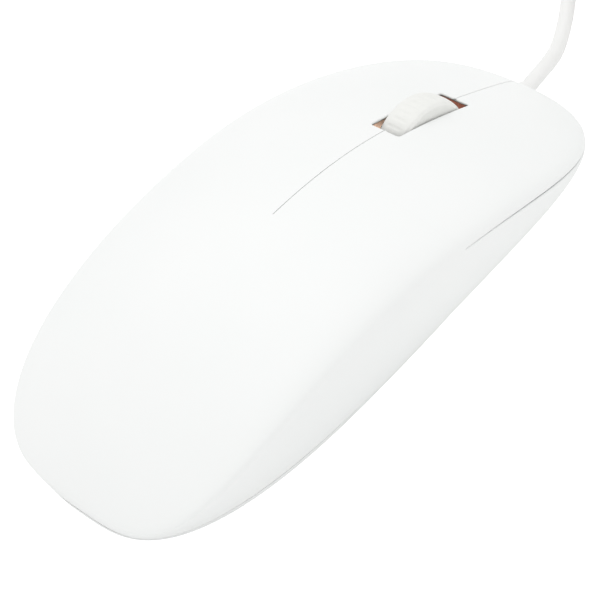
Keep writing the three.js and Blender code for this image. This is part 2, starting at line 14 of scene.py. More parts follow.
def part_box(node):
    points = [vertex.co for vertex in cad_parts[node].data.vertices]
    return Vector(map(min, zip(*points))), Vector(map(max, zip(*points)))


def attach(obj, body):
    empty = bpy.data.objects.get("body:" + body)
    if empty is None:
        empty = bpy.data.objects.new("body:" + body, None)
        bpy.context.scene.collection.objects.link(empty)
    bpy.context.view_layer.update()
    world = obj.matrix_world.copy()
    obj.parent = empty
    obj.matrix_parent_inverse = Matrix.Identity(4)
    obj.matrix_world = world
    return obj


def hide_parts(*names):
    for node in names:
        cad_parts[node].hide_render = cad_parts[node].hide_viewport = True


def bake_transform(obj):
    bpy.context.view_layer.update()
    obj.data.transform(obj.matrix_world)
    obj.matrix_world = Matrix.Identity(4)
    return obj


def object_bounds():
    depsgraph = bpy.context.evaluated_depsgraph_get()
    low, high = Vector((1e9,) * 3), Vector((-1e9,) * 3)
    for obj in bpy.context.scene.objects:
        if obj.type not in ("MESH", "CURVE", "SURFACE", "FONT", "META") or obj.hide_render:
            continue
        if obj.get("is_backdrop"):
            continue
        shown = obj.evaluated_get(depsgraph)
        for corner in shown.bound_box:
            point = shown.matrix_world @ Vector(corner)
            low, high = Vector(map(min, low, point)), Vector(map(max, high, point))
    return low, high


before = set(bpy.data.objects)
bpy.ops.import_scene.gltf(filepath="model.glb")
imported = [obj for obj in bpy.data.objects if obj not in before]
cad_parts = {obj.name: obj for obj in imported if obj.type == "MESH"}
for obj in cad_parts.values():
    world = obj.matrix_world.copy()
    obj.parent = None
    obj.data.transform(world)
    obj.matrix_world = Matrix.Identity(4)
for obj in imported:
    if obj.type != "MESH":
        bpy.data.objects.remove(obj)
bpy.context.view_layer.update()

MM = 0.001

# %% [markdown]
# The main sizes, in millimetres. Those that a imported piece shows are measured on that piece, so the looks
# follow the mechanical model. x is to the right, y towards the cable, and z is up from the feet.

# %% Sizes


def box_mm(node):
    """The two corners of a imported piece, in millimetres."""
    low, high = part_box(node)
    return np.array(low) / MM, np.array(high) / MM


palm_low, palm_high = box_mm("palm_cover")
HALF_LENGTH = -palm_low[1]
HEIGHT = palm_high[2]
PARTING_Z = palm_low[2]
HINGE_Y = 8.0
WALL = 1.8
HALF_WIDTH = 26.86
EDGE_Z = 1.3
EDGE_INSET = 0.7
BASE_Z = box_mm("bottom_case")[0][2]
SLIT_HALF = 0.06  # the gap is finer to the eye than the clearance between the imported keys
SLIT_REAR_Y = -5.0
SLOT_HALF = 3.15
SLOT_REAR_Y, SLOT_FRONT_Y = 22.3, 40.1
GROOVE_REAR_Y = 9.4
GROOVE_REST = 0.06
KEY_TRAVEL = 0.54
print("half length", round(HALF_LENGTH, 2), "height", round(HEIGHT, 2), "parting line", round(PARTING_Z, 2))

# %% [markdown]
# The camera stands behind the mouse on its right, well above it and slightly tilted, with a long lens that
# keeps the lines nearly parallel. It comes first, because the cable has to lie outside its view.

# %% Camera


def aim_camera(azimuth, elevation, roll, distance, aim_mm, lens):
    """A camera that looks at a point from an azimuth and elevation, turned about its own axis by roll."""
    az, el, turn = (math.radians(a) for a in (azimuth, elevation, roll))
    right = Vector((math.cos(az), math.sin(az), 0))
    back = Vector((math.sin(az) * math.cos(el), -math.cos(az) * math.cos(el), math.sin(el)))
    up = back.cross(right)
    tilted_right = right * math.cos(turn) + up * math.sin(turn)
    tilted_up = up * math.cos(turn) - right * math.sin(turn)
    data = bpy.data.cameras.new("camera")
    data.lens = lens
    data.sensor_width = 36
    data.clip_start, data.clip_end = 0.01, 20
    camera = bpy.data.objects.new("camera", data)
    bpy.context.scene.collection.objects.link(camera)
    place = Matrix((tilted_right, tilted_up, back)).transposed().to_4x4()
    right_mm, up_mm, aim_z = aim_mm
    aim = Vector((0, 0, aim_z)) - tilted_right * right_mm - tilted_up * up_mm
    place.translation = (aim + back * distance) * MM
    camera.matrix_world = place
    bpy.context.scene.camera = camera
    return camera


camera = aim_camera(52.359, 44.596, -13.982, 315.36, (1.278, 7.403, 12), 113.43)
print("camera at", [round(v, 3) for v in camera.location])

# %% [markdown]
# Every colour is written as it is named in a paint or design program, in sRGB, and turned to the linear
# values that the renderer adds up light with. One helper adds a node, so that a material reads as a list.

# %% Colour and node helpers


def linear(hex_colour, alpha=1.0):
    """An sRGB hex colour as the four linear values that a colour socket takes."""
    parts = [int(hex_colour[i : i + 2], 16) / 255 for i in (1, 3, 5)]
    return (*(c / 12.92 if c <= 0.04045 else ((c + 0.055) / 1.055) ** 2.4 for c in parts), alpha)


def add(tree, kind, sockets=None, **settings):
    """One node with its settings and its sockets. A socket takes a value, or another node's output."""
    node = tree.nodes.new(kind)
    for name, value in settings.items():
        setattr(node, name, value)
    for socket, value in (sockets or {}).items():
        if isinstance(value, bpy.types.NodeSocket):
            tree.links.new(value, node.inputs[socket])
        else:
            node.inputs[socket].default_value = value
    return node


def new_material(name):
    """An empty node material, its tree, and a coordinate in metres from the middle of the mouse."""
    material = bpy.data.materials.new(name)
    material.use_nodes = True
    tree = material.node_tree
    tree.nodes.clear()
    place = add(tree, "ShaderNodeTexCoord").outputs["Object"]
    return material, tree, place


def mottled_finish(name, tones, tone_mm, roughness, rough_mm, grain_mm, depth_mm, **sockets):
    """A finish whose tone and roughness drift in patches, over a grain of that size and depth.

    Patches and grain are given in millimetres, and each other socket by its name, with _ for a space."""
    material, tree, place = new_material(name)
    patches = add(tree, "ShaderNodeTexNoise", {"Vector": place, "Scale": 1 / (tone_mm * MM)})
    tone = add(tree, "ShaderNodeMix",
               {"Factor": patches.outputs["Fac"], 6: linear(tones[0]), 7: linear(tones[1])}, data_type="RGBA")
    gloss = add(tree, "ShaderNodeTexNoise", {"Vector": place, "Scale": 1 / (rough_mm * MM)})
    rough = add(tree, "ShaderNodeMapRange",
                {"Value": gloss.outputs["Fac"], "To Min": roughness[0], "To Max": roughness[1]})
    grain = add(tree, "ShaderNodeTexNoise", {"Vector": place, "Scale": 1 / (grain_mm * MM), "Detail": 3.0})
    bump = add(tree, "ShaderNodeBump", {"Height": grain.outputs["Fac"], "Distance": depth_mm * MM})
    others = {socket.replace("_", " "): value for socket, value in sockets.items()}
    shader = add(tree, "ShaderNodeBsdfPrincipled",
                 {"Base Color": tone.outputs[2], "Roughness": rough.outputs["Result"],
                  "Normal": bump.outputs["Normal"], **others})
    add(tree, "ShaderNodeOutputMaterial", {"Surface": shader.outputs["BSDF"]})
    return material


# %% [markdown]
# The cable's jacket is soft white PVC, extruded over the wires. Extrusion leaves it smooth along its length
# with a slight waviness, and it has a softer gloss than the hard housing. PVC has an IOR of about 1.54.

# %% Cable jacket finish
pvc = mottled_finish("white_pvc_jacket", ("#F5F5F4", "#F0F0EE"), 6, (0.42, 0.52), 1.5, 0.9, 0.02, IOR=1.54)
print("made", pvc.name)

# %% [markdown]
# The cable is 1.5 m of 3 mm round cord. It runs straight out of its grommet, sinks to the table, and goes
# round into a coil of four layers, each a flat spiral with its turns one diameter apart, in and then out.
# The coil is worked out by a loop, and the rest of the route is a list of points. One curve with a round
# section follows all of it, which is the simplest form for a cord of even thickness.

# %% Cable route
CABLE_RADIUS = 1.5
CABLE_Z = 5.1
COIL_CENTRE = np.array([-1.4, 116.8])
COIL_MEAN_RADIUS = 16.9
COIL_LAYERS = 4
TURNS_PER_LAYER = 3.2
COIL_BASE_Z = 0.85
BEND_ROUNDING = 0.3  # radians over which the spiral turns from in to out
CLIMB_SWEEP = 1.6  # radians over which the cord climbs to the next layer
LEAD = np.array([
    [0, 56.2, 5.1], [-0.1, 58.5, 5.25], [-0.5, 61, 5.3], [-1.2, 64.4, 4.9], [-2.3, 68, 4], [-3.8, 71.8, 2.9],
    [-5.7, 75.7, 2], [-7.8, 79.6, 1.6], [-10, 83.5, 1.55], [-12.4, 87.4, 1.55], [-14.9, 91.4, 1.55],
    [-17.6, 95.8, 1.6], [-20.3, 100.4, 1.8],
])
TAIL = np.array([
    [-22.7, 10.6, 10.2], [-23.1, 14.6, 9.2], [-22.8, 18.6, 7.9], [-21.7, 22.5, 6.5], [-19.7, 26, 5.3],
    [-17, 29, 4.5], [-13.7, 31.4, 4.05], [-10, 32.8, 3.9], [-6.4, 33.2, 3.9],
]) + [*COIL_CENTRE, 0]


def ease(t):
    """A smooth step from 0 to 1."""
    t = np.clip(t, 0, 1)
    return t * t * (3 - 2 * t)


def eased_path(t, start, end, start_slope, end_slope):
    """A value that goes from start to end as t goes from 0 to 1, with those slopes at its ends."""
    return ((1 - ease(t)) * start + ease(t) * end
            + start_slope * t * (1 - t) ** 2 - end_slope * t * t * (1 - t))


def coil_points(points_per_turn=18):
    """The coil's centreline, clockwise from the end of the lead to the start of the tail."""
    first, last = LEAD[-1], TAIL[0]
    from_centre = [p[:2] - COIL_CENTRE for p in (first, last)]
    radii = [np.hypot(*p) for p in from_centre]
    angles = [math.atan2(p[1], p[0]) for p in from_centre]
    full_turns = math.ceil(COIL_LAYERS * TURNS_PER_LAYER)
    sweep = (angles[0] - angles[1]) % (2 * math.pi) + 2 * math.pi * full_turns
    wound = 2 * math.pi * COIL_LAYERS * TURNS_PER_LAYER
    run_in = (sweep - wound) / 2
    pitch = 2 * CABLE_RADIUS
    outer = COIL_MEAN_RADIUS + pitch * TURNS_PER_LAYER / 2
    layer_sweep = wound / COIL_LAYERS
    low_z = COIL_BASE_Z + CABLE_RADIUS
    points = []
    for turned in np.linspace(0, sweep, round(sweep / (2 * math.pi) * points_per_turn))[1:-1]:
        along = turned - run_in
        layer, part = divmod(np.clip(along, 0, wound - 1e-9), layer_sweep)
        to_bend = min(part, layer_sweep - part)
        inner_bend = (part > layer_sweep / 2) == (layer % 2 == 0)
        middle_layer = 0 < layer < COIL_LAYERS - 1
        bends_here = 0 < along < wound and (inner_bend or middle_layer or to_bend > 1)
        rounded = math.hypot(to_bend, BEND_ROUNDING) if bends_here else to_bend
        from_outer = layer_sweep - rounded if inner_bend else rounded
        radius = outer - pitch * from_outer / (2 * math.pi)
        climbed = ease(0.5 + (part - layer_sweep) / CLIMB_SWEEP) if layer < COIL_LAYERS - 1 else 0
        to_climb = 1 - ease(0.5 + part / CLIMB_SWEEP) if layer > 0 else 0
        z = low_z + pitch * (layer + climbed - to_climb)
        if along < 0:
            t = turned / run_in
            radius = eased_path(t, radii[0], outer, -4.2 * run_in, -0.48 * run_in)
            z = first[2] + ease(t) * (low_z - first[2])
        if along > wound:
            t = (along - wound) / run_in
            radius = eased_path(t, outer, radii[1], 0.48 * run_in, 6 * run_in)
            z = z + ease(t) * (last[2] - z)
        angle = angles[0] - turned
        points.append([*(COIL_CENTRE + radius * np.array([math.cos(angle), math.sin(angle)])), z])
    return np.array(points)


def smooth_through(points, spacing):
    """Evenly spaced points on the smooth curve through the given ones (a Catmull-Rom curve)."""
    ends = [2 * points[0] - points[1], *points, 2 * points[-1] - points[-2]]
    fine = []
    for a, b, c, d in zip(ends, ends[1:], ends[2:], ends[3:]):
        for t in np.linspace(0, 1, 8, endpoint=False):
            fine.append(0.5 * (2 * b + (c - a) * t + (2 * a - 5 * b + 4 * c - d) * t * t
                               + (3 * b - a - 3 * c + d) * t**3))
    fine = np.array([*fine, points[-1]])
    walked = np.concatenate([[0], np.cumsum(np.linalg.norm(np.diff(fine, axis=0), axis=1))])
    stations = np.linspace(0, walked[-1], round(walked[-1] / spacing) + 1)
    return np.stack([np.interp(stations, walked, fine[:, k]) for k in range(3)], 1), walked[-1]


route, cable_mm = smooth_through(np.concatenate([LEAD, coil_points(), TAIL]), 1.2)
print("cable route", len(route), "points,", round(cable_mm, 1), "mm")

# %% [markdown]
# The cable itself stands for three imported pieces: its lead, its coil and its tail.

# %% Cable


def cord_curve(name, points_mm, radius_mm, material):
    """A round cord on an open curve."""
    data = bpy.data.curves.new(name, "CURVE")
    data.dimensions = "3D"
    data.bevel_depth = radius_mm * MM
    data.bevel_resolution = 5
    data.use_fill_caps = True
    spline = data.splines.new("POLY")
    spline.points.add(len(points_mm) - 1)
    for point, place in zip(spline.points, points_mm):
        point.co = (*(np.array(place) * MM), 1)
    spline.use_smooth = True
    data.materials.append(material)
    cord = bpy.data.objects.new(name, data)
    bpy.context.scene.collection.objects.link(cord)
    return cord


cable = cord_curve("cable", route, CABLE_RADIUS, pvc)
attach(cable, "root")
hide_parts("cable_lead", "cable_coil", "cable_tail")
print("cable", len(cable.data.splines[0].points), "points")

# %% [markdown]
# Several pieces are turned or drawn out along a line: grommet, wheel, plug. Each is a row of rings, joined
# ring to ring and closed at both ends, so that every piece is a closed body with a true thickness.

# %% Mesh helpers


def mesh_piece(name, points_mm, faces, material, body="root", nodes=(), slot=None, sharp_above=None,
               normals=None):
    """A mesh object from points in millimetres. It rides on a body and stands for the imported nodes."""
    data = bpy.data.meshes.new(name)
    corners = [tuple(p) for p in np.asarray(points_mm) * MM]
    data.from_pydata(corners, [], [tuple(int(i) for i in face) for face in faces])
    data.validate()
    data.polygons.foreach_set("use_smooth", [True] * len(data.polygons))
    if sharp_above is not None:
        data.set_sharp_from_angle(angle=math.radians(sharp_above))
    if normals is not None:
        data.normals_split_custom_set_from_vertices([tuple(n) for n in normals])
    data.materials.append(material)
    piece = bpy.data.objects.new(name, data)
    bpy.context.scene.collection.objects.link(piece)
    if body:
        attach(piece, body)
    if nodes:
        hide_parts(*nodes)
    return piece


def joined_rings(rings, closed=False):
    """Faces between successive rings of equal length. Ends get a fan, or the last ring meets the first."""
    count = len(rings[0])
    points = np.concatenate(rings)
    faces = []
    pairs = [(i, i + 1) for i in range(len(rings) - 1)]
    if closed:
        pairs.append((len(rings) - 1, 0))
    for a, b in pairs:
        for j in range(count):
            k = (j + 1) % count
            faces.append((a * count + j, a * count + k, b * count + k, b * count + j))
    if not closed:
        points = np.concatenate([points, [rings[0].mean(0), rings[-1].mean(0)]])
        first, last = len(points) - 2, len(points) - 1
        start = (len(rings) - 1) * count
        for j in range(count):
            k = (j + 1) % count
            faces.append((first, k, j))
            faces.append((last, start + j, start + k))
    return points, faces


def turned_rings(profile, axis, centre, sides=96):
    """Rings about an axis through a centre, from [radius, distance along the axis] pairs."""
    angles = np.linspace(0, 2 * math.pi, sides, endpoint=False)
    rings = []
    for radius, along in profile:
        circle = [radius * np.cos(angles), radius * np.sin(angles)]
        level = np.full(sides, along)
        columns = {"x": [level, *circle], "y": [circle[1], level, circle[0]], "z": [*circle, level]}[axis]
        rings.append(np.stack(columns, 1) + centre)
    return rings


def rounded_profile(corners, steps=4):
    """A closed profile from [radius, along, corner radius], with each corner rounded."""
    profile = []
    count = len(corners)
    for i, (r, h, round_by) in enumerate(corners):
        here = np.array([r, h])
        before = np.array(corners[i - 1][:2]) - here
        after = np.array(corners[(i + 1) % count][:2]) - here
        start = here + before / np.linalg.norm(before) * round_by
        end = here + after / np.linalg.norm(after) * round_by
        for t in np.linspace(0, 1, steps + 1) if round_by else [0]:
            profile.append((1 - t) ** 2 * start + 2 * t * (1 - t) * here + t * t * end)
    return profile


# %% [markdown]
# Where the cable leaves, a soft grommet sits in the front wall: a collar against the wall and a short taper
# that keeps the cable from being bent sharply. It is moulded in the same PVC as the jacket.

# %% Grommet
GROMMET = [(1.6, -5.6, 0), (3, -5.6, 0.2), (3, -4.4, 0.2), (2.2, -4.4, 0), (2.2, -0.1, 0), (2.5, 0.1, 0.1),
           (2.42, 1.0, 0.15), (2.05, 2.4, 0.3), (1.6, 2.5, 0.05)]
grommet_rings = turned_rings(rounded_profile(GROMMET), "y", [0, HALF_LENGTH, CABLE_Z], 64)
grommet = mesh_piece("grommet", *joined_rings(grommet_rings, closed=True), pvc, nodes=["strain_relief"],
                     slot="cable", sharp_above=50)
print("grommet", len(grommet.data.polygons), "faces")

# %% [markdown]
# The plug's grip is moulded over the wires and the back of the metal shell. Its section goes from a round
# neck to a rounded block with three finger ridges on each side.

# %% Plug grip
plug_low, plug_high = box_mm("plug_overmould")
PLUG_Y = (plug_low[1] + plug_high[1]) / 2
PLUG_Z = plug_high[2] / 2
PLUG_X = plug_low[0]


def plug_section(x, half_width, half_height, power, count=56):
    """A rounded section across the plug: power 2 is an ellipse, and more is squarer."""
    angles = np.linspace(0, 2 * math.pi, count, endpoint=False)
    c, s = np.cos(angles), np.sin(angles)
    across = half_width * np.sign(c) * np.abs(c) ** (2 / power)
    upward = half_height * np.sign(s) * np.abs(s) ** (2 / power)
    return np.stack([np.full(count, x), PLUG_Y + across, PLUG_Z + upward], 1)


def plug_grip():
    """The grip's sections: neck, shoulder, four ridges and the rounded end by the shell."""
    half_width = (plug_high[1] - plug_low[1]) / 2
    sections = [(0, 1.9, 1.9, 2), (0.3, 2.1, 2.1, 2), (7.2, 3.1, 3.1, 2), (7.6, 4.2, 3.4, 2.6),
                (8.1, 6.2, 3.75, 3.6), (8.9, 7.4, PLUG_Z, 4.6), (10, half_width, PLUG_Z, 5)]
    for ridge in range(4):
        start = 13 + 2.4 * ridge
        sections += [(start, half_width, PLUG_Z, 5), (start + 0.3, half_width - 0.35, PLUG_Z, 5),
                     (start + 0.9, half_width - 0.35, PLUG_Z, 5), (start + 1.2, half_width, PLUG_Z, 5)]
    sections += [(30.2, half_width, PLUG_Z, 5), (30.8, half_width - 0.2, PLUG_Z - 0.2, 5),
                 (31, half_width - 0.7, PLUG_Z - 0.7, 5)]
    return [plug_section(PLUG_X + x, *shape) for x, *shape in sections]


grip = mesh_piece("plug_grip", *joined_rings(plug_grip()), pvc, nodes=["plug_overmould"], slot="cable",
                  sharp_above=60)
print("plug grip", len(grip.data.polygons), "faces")

# %% [markdown]
# A black tie holds the coil: a steel wire in flat soft PVC, as cables are sold with. It is a band with
# rounded edges and the wire's ridge along its middle, bent round the bundle. Soft PVC has an IOR of 1.54.

# %% Coil tie finish and band
black_tie = mottled_finish("black_pvc_tie", ("#1B1B1C", "#2A2A2B"), 1.2, (0.38, 0.55), 0.6, 0.4, 0.03,
                           IOR=1.54)
tie_low, tie_high = box_mm("coil_tie")


def tie_band():
    """The band's section is an oval with a wire's ridge in its middle, swept round the bundle."""
    centre = (tie_low + tie_high) / 2
    half = (tie_high - tie_low) / 2
    angles = np.linspace(0, 2 * math.pi, 72, endpoint=False)
    rings = []
    for angle in angles:
        c, s = math.cos(angle), math.sin(angle)
        ring = []
        for turn in np.linspace(0, 2 * math.pi, 20, endpoint=False):
            across = half[1] * 0.98 * math.cos(turn)
            out = (0.16 + 0.09 * math.exp(-((across / 0.5) ** 2))) * math.sin(turn)
            reach = [half[0] - 0.25 + out, half[2] - 0.25 + out]
            ring.append([centre[0] + reach[0] * math.copysign(abs(c) ** 0.25, c), centre[1] + across,
                         centre[2] + reach[1] * math.copysign(abs(s) ** 0.25, s)])
        rings.append(np.array(ring))
    return joined_rings(rings, closed=True)


tie = mesh_piece("coil_band", *tie_band(), black_tie, nodes=["coil_tie"], slot="tie", sharp_above=50)
print("tie", len(tie.data.polygons), "faces")

# %% [markdown]

# %% [markdown]
# The housing is one flowing form. Lengthwise every outline is a formula in u, from -1 at the rear tip to 1
# at the front. The crease is its widest line, where the top, which arches across, meets the side wall.
# The same formulas give the imported pieces, so a fine mesh from them lies exactly where those do.

# %% Housing form
CREASE = [[-1, 5.1], [-0.5, 17.5], [0, 20.35], [0.5, 15.95], [0.8, 10.95], [1, 8.25]]


def squircle(u, power):
    """A curve from 1 at the middle to 0 at either end: power 2 is a circle, and more is squarer."""
    return np.maximum(0, 1 - np.abs(u) ** power) ** (1 / power)


def through(stations, u):
    """The smooth curve through a few [u, value] stations."""
    total = 0
    for ui, value in stations:
        share = value
        for uj, _ in stations:
            if uj != ui:
                share = share * (u - uj) / (ui - uj)
        total = total + share
    return total


def crease_z(u):
    """How high the crease is."""
    return through(CREASE, u)


def half_width(u):
    """How far the crease is from the middle. The front is rounder than the rear."""
    squareness = np.where(u > 0, 2.43, 3.76)
    return HALF_WIDTH * squircle(u, squareness) * (1 + 0.082 * u + 0.107 * u**2 + 0.11 * u**3 + 0.109 * u**4)


def top_point(u, s):
    """A point on the top, s across from -1 to 1."""
    crown = (HEIGHT - crease_z(0.0)) * squircle(u, 2.24) * (1 + 0.31 * u - 0.19 * u**2 - 0.14 * u**3)
    arch = np.maximum(0, 1 - np.abs(s) ** (2.49 - 0.08 * u)) ** (1 / 2.26)
    return np.stack([s * half_width(u), HALF_LENGTH * u, crease_z(u) + crown * arch], -1)


def bottom_point(u, side, inset=0.0):
    """A point on the bottom edge."""
    width = 21.8 * squircle(u, 3.18) * (1 - 0.1 * u - 0.08 * u**2) * (1 - inset / 21.8)
    return np.stack([side * width, -1.95 + (54 - inset) * u, np.full_like(u, EDGE_Z)], -1)


def wall_point(u, t, side):
    """A point on the side wall, t from 0 at the crease to 1 at the bottom edge. The wall bulges a little."""
    start = top_point(u, side * np.ones_like(u))
    end = bottom_point(u, side)
    out = 4 * t * (1 - t) * (1.7 + 1.4 * u) * (1 - 0.8 * u**8)
    spread = np.stack([side * out * np.sqrt(np.maximum(0, 1 - u * u)), out * u, 0 * out], -1)
    return start + t[..., None] * (end - start) + spread


print("widest", round(2 * float(half_width(np.linspace(-1, 1, 500)).max()), 1), "mm")

# %% [markdown]
# A fine mesh needs evenly sized faces, or the light flickers across it. So the stations along the length
# and the points across each station are both spaced by the distance walked over the surface.

# %% Even spacing


def even_stations(start, end, spacing, fixed=()):
    """Values of u from start to end, evenly walked along the crease, with the fixed ones among them."""
    bend = np.linspace(0, math.pi, 20001)
    u = np.clip(start + (end - start) * (1 - np.cos(bend)) / 2, -1, 1)
    walked = 0
    for s in (0.0, 0.6, 1.0):
        line = top_point(u, np.full_like(u, s))
        walked = walked + np.concatenate([[0], np.cumsum(np.linalg.norm(np.diff(line, axis=0), axis=1))]) / 2
    count = math.ceil(walked[-1] / spacing)
    stations = np.interp(np.linspace(0, walked[-1], count + 1), walked, u)
    keep = [v for v in stations if all(abs(v - f) > 0.25 / HALF_LENGTH for f in fixed)]
    return np.array(sorted([*keep, *fixed]))


def even_row(point_at, start, end, count, ease_power=3):
    """count + 1 parameters from start to end whose points are evenly walked over the surface."""
    t = start + (end - start) * (1 - (1 - np.linspace(0, 1, 400)) ** ease_power)
    line = point_at(t)
    walked = np.concatenate([[0], np.cumsum(np.linalg.norm(np.diff(line, axis=0), axis=1))])
    if walked[-1] < 1e-6:
        return np.linspace(start, end, count + 1)
    return np.interp(np.linspace(0, walked[-1], count + 1), walked, t)


def welded(points, faces):
    """Joins points that coincide and drops what collapses, such as at the tips."""
    _, first, place = np.unique(np.round(points, 3), axis=0, return_index=True, return_inverse=True)
    place = place.ravel()
    kept = []
    for face in faces:
        corners = [place[i] for i in face]
        corners = [c for i, c in enumerate(corners) if c != corners[i - 1]]
        if len(corners) > 2 and len(set(corners)) == len(corners):
            kept.append(corners)
    return points[first], kept


def grid_faces(rows, columns, first=0, flip=False, leave_out=None):
    """Quads between the points of a rows by columns grid."""
    faces = []
    for i in range(rows - 1):
        for j in range(columns - 1):
            if leave_out is not None and leave_out(i, j):
                continue
            a = first + i * columns + j
            quad = (a, a + 1, a + columns + 1, a + columns)
            faces.append(quad[::-1] if flip else quad)
    return faces


# %% [markdown]
# The housing's pieces are thin mouldings, so each is its outside, an inside one wall deeper, and a rim
# between them. A moulded edge is never sharp: it is rounded by a few tenths of a millimetre, and that
# rounding is what makes a gap between two pieces read as a soft dark line with a bright side.

# %% Moulding helper


def point_normals(points, faces):
    """The normal at each point, weighted by the faces round it."""
    normals = np.zeros_like(points)
    for size in (3, 4):
        group = np.array([f for f in faces if len(f) == size])
        if len(group):
            a, b = points[group[:, 2]] - points[group[:, 0]], points[group[:, size - 1]] - points[group[:, 1]]
            if size == 3:
                a, b = points[group[:, 1]] - points[group[:, 0]], points[group[:, 2]] - points[group[:, 0]]
            face_normal = np.cross(a, b)
            for k in range(size):
                np.add.at(normals, group[:, k], face_normal)
    length = np.linalg.norm(normals, axis=1, keepdims=True)
    return normals / np.maximum(length, 1e-12)


def full_thickness(points):
    """The wall is equally thick all over."""
    return np.full(len(points), WALL)


def moulding(points, faces, edge_radius, thickness=full_thickness, arc_steps=4):
    """A closed wall from an open outside. edge_radius gives each point's rounding where it lies on an edge.

    The normals are given too: those of the outside go on over the joints, and a rounded edge turns evenly."""
    points, faces = welded(points, faces)
    normals = point_normals(points, faces)
    directed = {}
    for face in faces:
        for a, b in zip(face, [*face[1:], face[0]]):
            directed[(a, b)] = True
    rim = [edge for edge in directed if (edge[1], edge[0]) not in directed]
    outward = np.zeros_like(points)
    for a, b in rim:
        across = np.cross(points[b] - points[a], normals[a] + normals[b])
        across /= max(np.linalg.norm(across), 1e-12)
        outward[a] += across
        outward[b] += across
    on_rim = sorted({i for edge in rim for i in edge})
    length = np.linalg.norm(outward[on_rim], axis=1, keepdims=True)
    mitre = np.minimum(2 / np.maximum(length, 1e-9), 1.35)
    outward[on_rim] = outward[on_rim] / np.maximum(length, 1e-9) * mitre
    radii = edge_radius(points[on_rim])[:, None]
    edge, away, normal = points[on_rim], outward[on_rim], normals[on_rim]
    layers, turned_normals = [], []
    unit_away = away / np.linalg.norm(away, axis=1, keepdims=True)
    for angle in np.linspace(0, math.pi / 2, arc_steps + 1):
        layers.append(edge - away * radii * (1 - math.sin(angle)) - normal * radii * (1 - math.cos(angle)))
        turned_normals.append(unit_away * math.sin(angle) + normal * math.cos(angle))
    outside = points.copy()
    outside[on_rim] = layers[0]
    inside = points - normals * thickness(points)[:, None]
    count = len(points)
    row = {v: k for k, v in enumerate(on_rim)}
    all_points = np.concatenate([outside, inside, *layers[1:]])
    all_normals = np.concatenate([normals, -normals, *turned_normals[1:]])

    def layer_index(v, layer):
        """Where a rim point's copy is: on the outside, on the arc, or on the inside."""
        if layer == 0:
            return v
        if layer > arc_steps:
            return count + v
        return 2 * count + (layer - 1) * len(on_rim) + row[v]

    all_faces = [*faces, *[[count + v for v in reversed(face)] for face in faces]]
    for a, b in rim:
        for layer in range(arc_steps + 1):
            all_faces.append([layer_index(b, layer), layer_index(a, layer), layer_index(a, layer + 1),
                              layer_index(b, layer + 1)])
    return all_points, all_faces, all_normals


# %% [markdown]
# The housing is white ABS, injection moulded against a finely blasted steel surface. That gives an even
# satin: a broad soft highlight, a grain of about a tenth of a millimetre, and a slight glow where light
# goes a little way into the plastic. ABS has an IOR of about 1.53. The grain is drawn at 0.3 mm, because
# the real one is too fine to show.

# %% Housing finish
abs_white = mottled_finish("white_abs_satin", ("#F7F8F7", "#F3F5F4"), 22, (0.34, 0.42), 4, 0.3, 0.004,
                           IOR=1.53)
print("made", abs_white.name)

# %% [markdown]
# The palm cover is the rear of the top and the whole side wall, which runs forward under the keys. A slit
# starts in it and parts the two keys. Its mesh is a row of sections: wall, half top, half top, wall.

# %% Palm cover


def slit_edge(y):
    """How far the slit's edge is from the middle. Its end is a half circle."""
    into = np.clip(y - SLIT_REAR_Y, 0, SLIT_HALF)
    return np.sqrt(np.maximum(0, SLIT_HALF**2 - (SLIT_HALF - into) ** 2))


def groove_gap(y):
    """The gap under a key's lip: none at its rear end, and more towards the front for the key's travel."""
    share = np.clip((y - HINGE_Y) / (HALF_LENGTH - HINGE_Y), 0, 1)
    return (GROOVE_REST + KEY_TRAVEL * share) * ease(y - GROOVE_REAR_Y)


def wall_rows(stations, side, z_low, count):
    """The side wall's points, from the crease or the groove down to a height."""
    rows = []
    for u in stations:
        drop = crease_z(u) - EDGE_Z
        start = groove_gap(HALF_LENGTH * u) / drop
        end = (crease_z(u) - z_low) / drop
        t = np.linspace(start, end, count + 1)
        rows.append(wall_point(np.full_like(t, u), t, side))
    return np.concatenate(rows)


SLIT_EDGE, OPEN_EDGE, SHARP_EDGE = 0.04, 0.25, 0.01
SLIT_END = [(SLIT_REAR_Y + d * SLIT_HALF) / HALF_LENGTH for d in (0, 0.2, 0.5, 1)]
HINGE_U = HINGE_Y / HALF_LENGTH


def palm_mesh(spacing=0.7, across=46, down=24):
    """The outside of the palm cover: on each side half the top, as far as the keys, and the whole wall."""
    stations = even_stations(-1, 1, spacing, [*SLIT_END, HINGE_U])
    behind = stations[stations <= HINGE_U + 1e-9]
    points, faces, total = [], [], 0
    for side in (-1, 1):
        rows = []
        for u in behind:
            start = min(slit_edge(HALF_LENGTH * u) / max(half_width(u), 1e-6), 1)
            s = even_row(lambda v, u=u: top_point(np.full_like(v, u), v), start, 1, across)
            rows.append(top_point(np.full_like(s, u), side * s))
        points.append(np.concatenate(rows))
        faces += grid_faces(len(behind), across + 1, total, flip=side > 0)
        total += len(points[-1])
        points.append(wall_rows(stations, side, PARTING_Z, down))
        faces += grid_faces(len(stations), down + 1, total, flip=side > 0)
        total += len(points[-1])
    return np.concatenate(points), [f[::-1] for f in faces]


def palm_edge_radius(edge):
    """Slit and groove edges are rounded, and the joint with the keys isn't, so that it doesn't show."""
    y = edge[:, 1]
    slit = np.where((np.abs(edge[:, 0]) < 0.4) & (edge[:, 2] > 15), SLIT_EDGE, OPEN_EDGE)
    at_joint = np.abs(y - HINGE_Y) < 0.05
    closed_groove = (y > HINGE_Y - 0.1) & (y < GROOVE_REAR_Y + 0.3) & (edge[:, 2] > 6)
    return np.where((at_joint & (edge[:, 2] > 6)) | closed_groove, SHARP_EDGE, slit)


